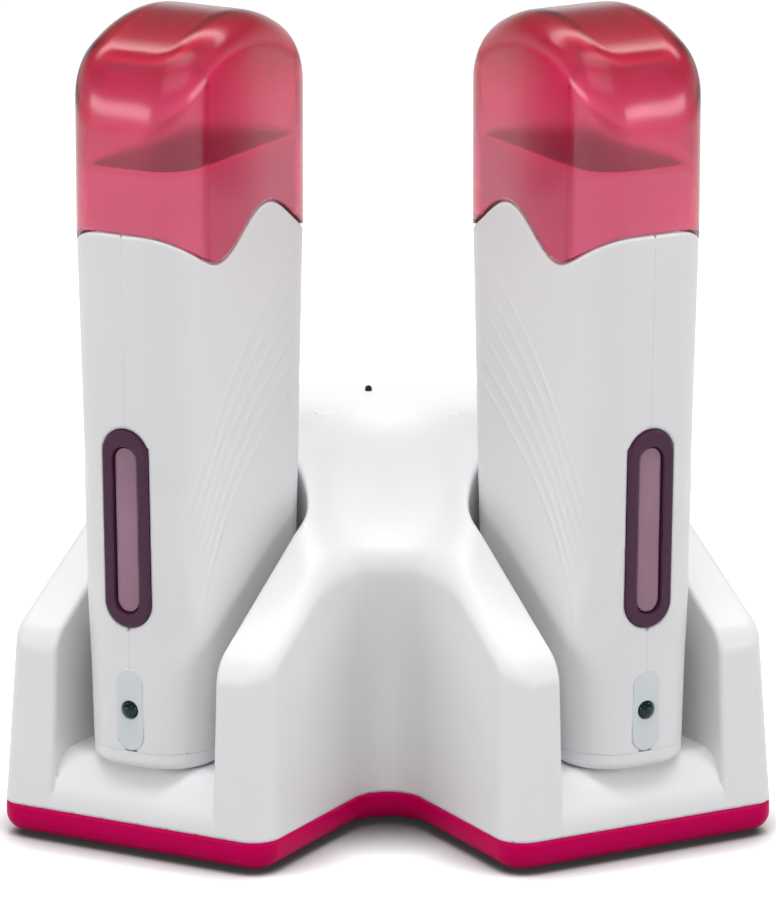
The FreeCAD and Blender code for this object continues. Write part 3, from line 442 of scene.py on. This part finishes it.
def base_top(x, y, z):
    """The ramps, the ledge behind them and the hollow between them, seen from below as one surface."""
    forward, _ = arm_way(x, y)
    ramp = (z - FRONT_TOP - math.tan(RAMP) * (FRONT - forward)) * math.cos(RAMP)
    top = soft(ramp, z - LEDGE, LEDGE_BLEND)
    low, high = VALLEY_SLOPES
    along = y - VALLEY_Y
    turn = np.hypot(along, VALLEY_TURN) - VALLEY_TURN
    valley = VALLEY_HEIGHT + (high + low) / 2 * along + (high - low) / 2 * turn
    valley = (z - valley - VALLEY_BEND * x * x) * math.cos(RAMP)
    return soft(top, valley, VALLEY_BLEND)


def base_outside(x, y, z):
    """The white housing as if it were solid."""
    plan = base_plan(x, y, draft=np.maximum(z - TRAY_TOP, 0) * DRAFT)
    forward, inward = arm_way(x, y)
    body = arris(plan, base_top(x, y, z), np.interp(inward, TOP_EDGE_PLACES, TOP_EDGE_RADII))
    back = DOCK_FORWARD - BAY_DEPTH - forward
    bay = arris(np.abs(inward - DOCK_INWARD) - BAY_WIDTH / 2, back, BAY_RADIUS)
    floor = arris(plan * LIP_SPREAD, z - BAY_FLOOR, BAY_LIP)
    return np.minimum(without(body, bay, BAY_EDGE), floor)


LEFT_SCREWS = arm_spot(61, -69.8), arm_spot(61, -3.2), (-36, 48)
SCREWS = [(side * x, y) for side in (-1, 1) for x, y in LEFT_SCREWS]
POSTS = [(x, y) for x in (-26, 26) for y in (34, 54)]
LEFT_RUBBERS = arm_spot(52, -62), arm_spot(52, -14), (-22, 52)
RUBBERS = [(side * x, y) for side in (-1, 1) for x, y in LEFT_RUBBERS]
LAMP = (-5.5, 51)


def ledge_groove(x, y, z):
    """The shallow curved line across the ledge."""
    along = np.hypot(x, y - GROOVE_CENTRE) - GROOVE_SWEEP
    line = np.hypot(along, z - LEDGE - GROOVE_LIFT) - GROOVE_RADIUS
    return np.maximum(line, np.abs(x) - GROOVE_REACH)


def upper_shell(x, y, z):
    """The white housing, with its columns, posts and holes."""
    outside = base_outside(x, y, z)
    wall = np.maximum(outside, -(outside + BASE_WALL))
    posts = np.maximum(rods(x, y, POST_RADIUS, POSTS), POST_BOTTOM - z)
    columns = np.maximum(np.minimum(rods(x, y, COLUMN_RADIUS, SCREWS), posts), outside + COLUMN_SINK)
    wall = np.minimum(wall, columns)
    pilots = np.minimum(
        np.maximum(rods(x, y, COLUMN_PILOT, SCREWS), z - TRAY_TOP - COLUMN_PILOT_DEPTH),
        np.maximum(rods(x, y, POST_PILOT, POSTS), z - POST_PILOT_TOP),
    )
    forward, inward = arm_way(x, y)
    half_length, half_width = CONTACT_HALVES
    along, across = np.abs(forward - DOCK_FORWARD) - half_length, np.abs(inward - DOCK_INWARD) - half_width
    contacts = np.maximum(np.maximum(along, across), z - BAY_FLOOR - CONTACT_HEAD)
    half_width, half_height = INLET_HALVES
    inlet = arris(np.abs(x) - half_width, np.abs(z - INLET_HEIGHT) - half_height, INLET_CORNER)
    inlet = np.maximum(inlet, INLET_FRONT - y)
    lamp = np.maximum(rods(x, y, LAMP_RADIUS, [LAMP]), LEDGE - LAMP_DEPTH - z)
    for hole in (pilots, contacts, inlet, lamp):
        wall = without(wall, hole)
    wall = soft(wall, -ledge_groove(x, y, z), GROOVE_BLEND)
    return arris(wall, TRAY_TOP - z, SHELL_FOOT_EDGE)


def lower_tray(x, y, z):
    """The crimson tray, open to the housing."""
    plan = base_plan(x, y)
    outside = arris(arris(plan, RUBBER_GAP - z, TRAY_BOTTOM_EDGE), z - TRAY_TOP, TRAY_TOP_EDGE)
    hollow = np.maximum(base_plan(x, y, inset=TRAY_WALL), RUBBER_GAP + TRAY_FLOOR - z)
    holes = np.minimum.reduce(
        [
            without(hollow, rods(x, y, COLUMN_RADIUS, SCREWS)),
            rods(x, y, COLUMN_PILOT, SCREWS),
            np.maximum(rods(x, y, COUNTERBORE, SCREWS), z - RUBBER_GAP - COUNTERBORE_DEPTH),
            np.maximum(rods(x, y, RUBBER_RADIUS, RUBBERS), z - RUBBER_GAP - RUBBER_SEAT),
        ]
    )
    return without(outside, holes, HOLE_EDGE)


BASE_REACH = 104.6, 67  # to the sides, and to the front and back
BASE_VOXEL = 0.9
for piece, distance, bottom, top, finish in (
    ("base_upper_shell", upper_shell, TRAY_TOP, LEDGE, "white_plastic"),
    ("base_lower_tray", lower_tray, RUBBER_GAP, TRAY_TOP, "crimson_plastic"),
):
    side, end = BASE_REACH
    carved = carve(distance, (-side, -end, bottom), (side, end, top), BASE_VOXEL)
    solid(piece + "_moulded", carved, finish, "base", piece)


# ---- handset: x forward, y inward, z up from its foot ----

EXPONENT = 50  # the most that a fade's exponent may be

def section(x, y, z, inset=0.0):
    """The handset's outside at each height, or a parallel surface inside it."""
    share = np.clip(z / TAPER, 0, 1)
    half_depth = (FOOT_DEPTH + (TOP_DEPTH - FOOT_DEPTH) * share) / 2 - inset
    half_width = (FOOT_WIDTH + (TOP_WIDTH - FOOT_WIDTH) * share) / 2 - inset
    return rounded_rectangle(x, y, half_depth, half_width, SECTION_RADIUS - inset)


def above_wave(x, z):
    """Height above the wavy line of the cap's edge."""
    turn = 2 * math.pi / WAVE_LENGTH
    level = WAVE_MIDDLE - WAVE_SWING * np.cos(turn * (x - WAVE_TROUGH))
    slope = WAVE_SWING * turn * np.sin(turn * (x - WAVE_TROUGH))
    return (z - level) / np.sqrt(1 + slope * slope)


def leaning(x, z):
    """Depth in front of the narrow front face, and distance up along it."""
    lean = math.atan((TOP_DEPTH - FOOT_DEPTH) / 2 / TAPER)
    ahead = x - FOOT_DEPTH / 2
    return ahead * math.cos(lean) - z * math.sin(lean), ahead * math.sin(lean) + z * math.cos(lean)


def weakening(past, length):
    """What a height is divided by beside a bound: 1 well before it, and more and more past it."""
    return 1 + np.exp(np.clip(past / length, -EXPONENT, EXPONENT))


def ribs(x, z):
    """Height of the soft ribs that rise beside the window and sweep back over the broad sides."""
    height = 0
    for rib in range(RIBS):
        share = rib / (RIBS - 1)
        foot_x, bend_z, bend = [first + change * share for first, change in (RIB_FOOT, RIB_RISE, RIB_BEND)]
        rise = np.maximum(z - bend_z, 0)
        across = (x - foot_x + bend * rise * rise) / np.sqrt(1 + (2 * bend * rise) ** 2)
        below, length = RIB_FOOT_FADE
        ends = 1 / weakening(bend_z - below - z, length)
        behind, length = RIB_TIP_FADE
        ends = ends / weakening(behind - x, length)
        height = height + RIB_HEIGHT * np.exp(-((across / RIB_WIDTH) ** 2)) * ends
    return height


def inboard_shell(x, y, z):
    """The half of the white body on the inward side."""
    skin = section(x, y, z) - ribs(x, z)
    wall = np.maximum(skin, -section(x, y, z, SHELL_WALL))
    wall = arris(wall, above_wave(x, z), SHELL_RIM)
    wall = arris(wall, FOOT_BAND + BAND_GAP - z, BAND_EDGE)
    room = np.maximum(section(x, y, z, SHELL_WALL - BOSS_GRIP), FOOT_ROOM - z)
    boss_spots = [(BOSS_X, BOSS_Y)]
    boss = np.maximum(rods(np.abs(x), y, BOSS_RADIUS, boss_spots), np.maximum(room, z - BOSS_TOP))
    pilot = np.maximum(rods(np.abs(x), y, FOOT_PILOT, boss_spots), z - FOOT_PILOT_TOP)
    wall = without(np.minimum(wall, boss), pilot)
    ahead, up = leaning(x, z)
    window = np.maximum(stadium(y, up, *WINDOW), -FRONT_CUT - ahead)
    plate = np.maximum(stadium(y, up, *PLATE) + PLATE_SEAT, -PLATE_SINK - ahead)
    lamp = np.maximum(np.hypot(y, up - LED_HEIGHT) - LED_RADIUS, -FRONT_CUT - ahead)
    wall = without(wall, window, WINDOW_EDGE)
    wall = without(wall, plate, PLATE_CUT_EDGE)
    wall = without(wall, lamp)
    return arris(wall, SEAM_HALF - y, SEAM_EDGE)


def cap(x, y, z):
    """The tinted cap, one even wall with a rounded top."""
    top = np.hypot(x - CROWN_X, np.maximum(z - CAP_TOP + CROWN_RADIUS, 0)) - CROWN_RADIUS
    outside = arris(section(x, y, np.full_like(z, TAPER)), top, CAP_EDGE)
    wall = np.maximum(outside, -(outside + CAP_WALL + np.interp(z, CAP_EXTRA_PLACES, CAP_EXTRA)))
    return arris(wall, CAP_GAP - above_wave(x, z), CAP_RIM)


def mouth_collar(x, y, z):
    """The white rim of the cartridge chamber, with a mouth that narrows down to the chamber."""
    outside = section(x, y, z, SHELL_WALL) + np.where(z > TAPER, COLLAR_STEP, 0)
    share = np.clip((z - COLLAR_BASE) / (MOUTH - COLLAR_BASE), 0, 1)
    halves = (low + (high - low) * share for low, high in zip(CHAMBER_HALVES, MOUTH_HALVES))
    mouth = rounded_rectangle(x, y, *halves, CHAMBER_RADIUS)
    block = arris(outside, z - MOUTH, COLLAR_EDGE)
    return np.maximum(without(block, mouth, MOUTH_EDGE), COLLAR_BASE - z)


def in_chamber(x, y, z):
    """The places on the collar's inside, under its rim, that get the painted shade."""
    return (section(x, y, z, SHELL_WALL) < -COLLAR_EDGE) & (z < MOUTH - CHAMBER_SHADE_DROP)


def foot_cover(x, y, z):
    """The plug that closes the body from below, seen as a thin band."""
    foot = np.zeros_like(z)
    outside = arris(arris(section(x, y, foot), -z, COVER_EDGE), z - FOOT_BAND + BAND_GAP, BAND_EDGE)
    hollow = np.maximum(section(x, y, foot, SHELL_WALL), COVER_FLOOR - z)
    screws = [(BOSS_X * a, BOSS_Y * b) for a in (-1, 1) for b in (-1, 1)]
    heads = np.maximum(rods(x, y, SCREW_HEAD, screws), z - SCREW_HEAD_DEPTH)
    shanks, sockets = rods(x, y, FOOT_PILOT, screws), rods(x, y, SOCKET_RADIUS, SOCKETS)
    holes = np.minimum.reduce([hollow, sockets, shanks, heads])
    return without(outside, holes, HOLE_EDGE)


def window_frame(x, y, z):
    """The dark frame, dished towards the pane."""
    ahead, up = leaning(x, z)
    width, bottom, top = WINDOW
    ring = stadium(y, up, width - 2 * FRAME_GAP, bottom + FRAME_GAP, top - FRAME_GAP)
    ring = arris(ring, ahead - FRAME_PROUD, FRAME_EDGE)
    opening = stadium(y, up, *PANE) - DISH_SLOPE * np.maximum(ahead + DISH_DEPTH, 0)
    return np.maximum(without(ring, opening, FRAME_INNER_EDGE), -SHELL_WALL - ahead)


def window_pane(x, y, z):
    """The clear strip, a little domed."""
    ahead, up = leaning(x, z)
    strip = arris(stadium(y, up, *PANE), ahead + PANE_SINK + PANE_DOME * y * y, PANE_EDGE)
    return np.maximum(strip, -PANE_BACK - ahead)


def indicator_plate(x, y, z):
    """The light plate round the lamp."""
    ahead, up = leaning(x, z)
    width, bottom, top = PLATE
    plate = stadium(y, up, width - 2 * PLATE_GAP, bottom + PLATE_GAP, top - PLATE_GAP)
    plate = arris(plate, ahead - PLATE_PROUD, PLATE_EDGE)
    plate = without(plate, np.hypot(y, up - LED_HEIGHT) - LED_RADIUS - LED_GAP, PLATE_EDGE)
    return np.maximum(plate, -PLATE_SINK - ahead)


def indicator_led(x, y, z):
    """The domed lamp, with its flange inside the body."""
    ahead, up = leaning(x, z)
    off_axis = np.hypot(y, up - LED_HEIGHT)
    dome = np.hypot(off_axis, np.maximum(ahead + PLATE_SINK, 0)) - LED_RADIUS
    stem = np.maximum(dome, -SHELL_WALL - ahead)
    flange = np.abs(ahead + SHELL_WALL + LED_FLANGE_HALF) - LED_FLANGE_HALF
    flange = arris(off_axis - LED_FLANGE, flange, LED_FLANGE_EDGE)
    return np.minimum(stem, flange)


# how finely pieces are carved, in millimetres: the body, the foot, the window and the lamp with its plate
BODY_VOXEL, FOOT_VOXEL, WINDOW_VOXEL, LAMP_VOXEL = 0.7, 0.6, 0.4, 0.3
half = carve(inboard_shell, (-37, -0.5, 4), (37, 20, 152), BODY_VOXEL)
handset_pair("inboard_shell", half, "white_plastic")
handset_pair("outboard_shell", mirrored(half, 1), "white_plastic")
handset_pair("cap", carve(cap, (-37, -20, 139), (37, 20, 204), BODY_VOXEL), "tinted_cap", moves="cap")
rim = carve(mouth_collar, (-35, -18, COLLAR_BASE), (35, 18, MOUTH), BODY_VOXEL)
# the collar's faces inside the chamber get the painted shade
chamber = in_chamber(*np.concatenate([rim[0][kind].mean(axis=1) for kind in rim[1]]).T)
# the collar gets the brightened white of painted light
for piece in handset_pair("mouth_collar", rim, "collar_plastic_painted_light", slot="white_plastic"):
    second_finish(piece, chamber, "chamber_painted_shade")
handset_pair("foot_cover", carve(foot_cover, (-34, -18, 0), (34, 18, 5), FOOT_VOXEL), "white_plastic")
window_low, window_high = (31, -7.5, 39), (37.5, 7.5, 96)
lamp_low, lamp_high = (30, -4.5, 4), (37, 4.5, 29)
handset_pair("window_frame", carve(window_frame, window_low, window_high, WINDOW_VOXEL), "window_frame")
handset_pair("window_pane", carve(window_pane, window_low, window_high, WINDOW_VOXEL), "window_pane")
handset_pair("indicator_plate", carve(indicator_plate, lamp_low, lamp_high, LAMP_VOXEL), "plate_grey")
handset_pair("indicator_led", carve(indicator_led, lamp_low, lamp_high, LAMP_VOXEL), "green_lamp")


# ---- pieces whose CAD shape stays ----

KEPT = {
    "base_feet": "foot_rubber",
    "base_screws": "steel",
    "base_circuit_board": "circuit_board",
    "base_board_screws": "steel",
    "base_indicator_led": "green_lamp",
    "base_led_spacer": "black_plastic",
    "base_cables": "cable",
    "inlet_housing": "black_plastic",
    "inlet_pins": "steel",
    "contact_block": "white_plastic",
    "contact_pins": "brass",
    "heater_jacket": "aluminium",
    "heating_element": "heater_steel",
    "thermostat": "black_plastic",
    "led_board": "circuit_board",
    "foot_screws": "steel",
    "contact_sockets": "brass",
    "heater_leads": "cable",
}

for name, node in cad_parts.items():
    kind = name.removeprefix("left_").removeprefix("right_")
    if kind in KEPT:
        node.data.materials.clear()
        node.data.materials.append(MATERIALS[KEPT[kind]])


# ---- studio: places in metres, lamps in watts ----

FLOOR_REACH, FLOOR_SIDES = 6, 96
FLOOR_WHITE, FLOOR_DARK, FLOOR_GLOW, FLOOR_DULL = 1.15, 0.1, 0.2, 0.4
# painted shadow: the floor's colour darkens within this distance of the object
NEARBY, NEARBY_RANGE, NEARBY_SAMPLES = 28 * MM, (0.3, 0.95), 16  # of the deeper shadow
FADE_RANGE = 0.08, 0.4  # heights of a direction between which the white background ends in reflections
AMBIENT = 0.28


def calculated(tree, operation, first, second):
    """Two values brought together."""
    node = tree.nodes.new("ShaderNodeMath")
    node.operation = operation
    tree.links.new(first, node.inputs[0])
    tree.links.new(second, node.inputs[1])
    return node.outputs[0]


def looked_at(tree, gloss=None):
    """1 for rays from the camera, in a reflection or through a clear piece. Gloss scales reflections."""
    path = tree.nodes.new("ShaderNodeLightPath")
    reflected = path.outputs["Is Glossy Ray"]
    if gloss:
        reflected = calculated(tree, "MULTIPLY", reflected, gloss)
    seen = calculated(tree, "MAXIMUM", path.outputs["Is Camera Ray"], reflected)
    return calculated(tree, "MAXIMUM", seen, path.outputs["Is Transmission Ray"])


def studio_floor():
    """A pale floor: white where it is looked at, with a painted shadow close to the object, and duller in
    the light that it throws back."""
    bpy.ops.mesh.primitive_circle_add(vertices=FLOOR_SIDES, radius=FLOOR_REACH, fill_type="NGON")
    floor = bpy.context.object
    floor.name = "studio_floor"
    made = bpy.data.materials.new("studio_floor")
    made.use_nodes = True
    tree = made.node_tree
    tree.nodes.clear()
    # painted shadow: the floor's colour is darker where the object hides it
    nearby = tree.nodes.new("ShaderNodeAmbientOcclusion")
    nearby.samples = NEARBY_SAMPLES
    nearby.inputs["Distance"].default_value = NEARBY
    white = ranged(tree, nearby.outputs["AO"], FLOOR_DARK, FLOOR_WHITE, *NEARBY_RANGE)
    seen, dull = (tree.nodes.new("ShaderNodeBsdfDiffuse") for _ in range(2))
    dull.inputs["Color"].default_value = (FLOOR_DULL, FLOOR_DULL, FLOOR_DULL, 1)
    glow = tree.nodes.new("ShaderNodeEmission")
    glow.inputs["Strength"].default_value = FLOOR_GLOW
    for shader in (seen, glow):
        tree.links.new(white, shader.inputs["Color"])
    lit = tree.nodes.new("ShaderNodeAddShader")
    tree.links.new(seen.outputs[0], lit.inputs[0])
    tree.links.new(glow.outputs[0], lit.inputs[1])
    choice = tree.nodes.new("ShaderNodeMixShader")
    tree.links.new(looked_at(tree), choice.inputs["Fac"])
    tree.links.new(dull.outputs[0], choice.inputs[1])
    tree.links.new(lit.outputs[0], choice.inputs[2])
    output = tree.nodes.new("ShaderNodeOutputMaterial")
    tree.links.new(choice.outputs[0], output.inputs["Surface"])
    floor.data.materials.append(made)


def studio_world():
    """Even light from all round, with a white background that fades overhead in reflections."""
    world = bpy.data.worlds.new("studio")
    world.use_nodes = True
    tree = world.node_tree
    background = tree.nodes["Background"]
    background.inputs["Color"].default_value = (1, 1, 1, 1)
    way = tree.nodes.new("ShaderNodeTexCoord")
    split = tree.nodes.new("ShaderNodeSeparateXYZ")
    tree.links.new(way.outputs["Generated"], split.inputs["Vector"])
    low = ranged(tree, split.outputs["Z"], 1, 0, *FADE_RANGE)
    low.node.interpolation_type = "SMOOTHSTEP"
    level = ranged(tree, looked_at(tree, low), AMBIENT, 1, 0, 1)
    tree.links.new(level, background.inputs["Strength"])
    bpy.context.scene.world = world


def placed(name, data, place, aim):
    """A lamp or a camera at a place, turned towards a point."""
    holder = bpy.data.objects.new(name, data)
    holder.location = place
    holder.rotation_euler = (Vector(aim) - Vector(place)).to_track_quat("-Z", "Y").to_euler()
    bpy.context.scene.collection.objects.link(holder)
    return holder


def softbox(name, place, aim, width, height, watts, matt=True, gloss=True):
    """A lamp; either the matt or the glossy part of the surfaces can be left without it."""
    lamp = bpy.data.lights.new(name, "AREA")
    lamp.shape = "RECTANGLE"
    lamp.size, lamp.size_y, lamp.energy = width, height, watts
    holder = placed(name, lamp, place, aim)
    holder.visible_diffuse, holder.visible_glossy = matt, gloss


def camera(place, aim, lens):
    """The camera at the photograph's viewing angle."""
    lens_data = bpy.data.cameras.new("camera")
    lens_data.lens = lens
    lens_data.clip_end = 50
    bpy.context.scene.camera = placed("camera", lens_data, place, aim)


camera((0, -1.9612, 0.6245), (0, -0.002, 0.1018), 295.8)
studio_floor()
studio_world()
HEART = (0, 0, 0.1)
softbox("long_softbox", (0, -0.2, 1.4), HEART, 2.6, 0.16, 8.4, gloss=False)
softbox("edge_softbox", (0, 0.5, 1.2), HEART, 2.6, 0.16, 8.4, matt=False)
softbox("top_softbox", (0, -0.3, 1.4), HEART, 0.9, 0.6, 7.0, gloss=False)
softbox("back_softbox", (0, 0.7, 1.2), HEART, 1.4, 0.5, 5.6, gloss=False)
softbox("front_softbox", (0, -1.5, 1.5), HEART, 1.6, 0.8, 5.0)
for name, side in (("left_softbox", -1), ("right_softbox", 1)):
    softbox(name, (1.53 * side, -0.83, 0.5), (0, 0, 0.12), 1.5, 0.3, 8.2)
bpy.context.scene.view_settings.view_transform = "Standard"
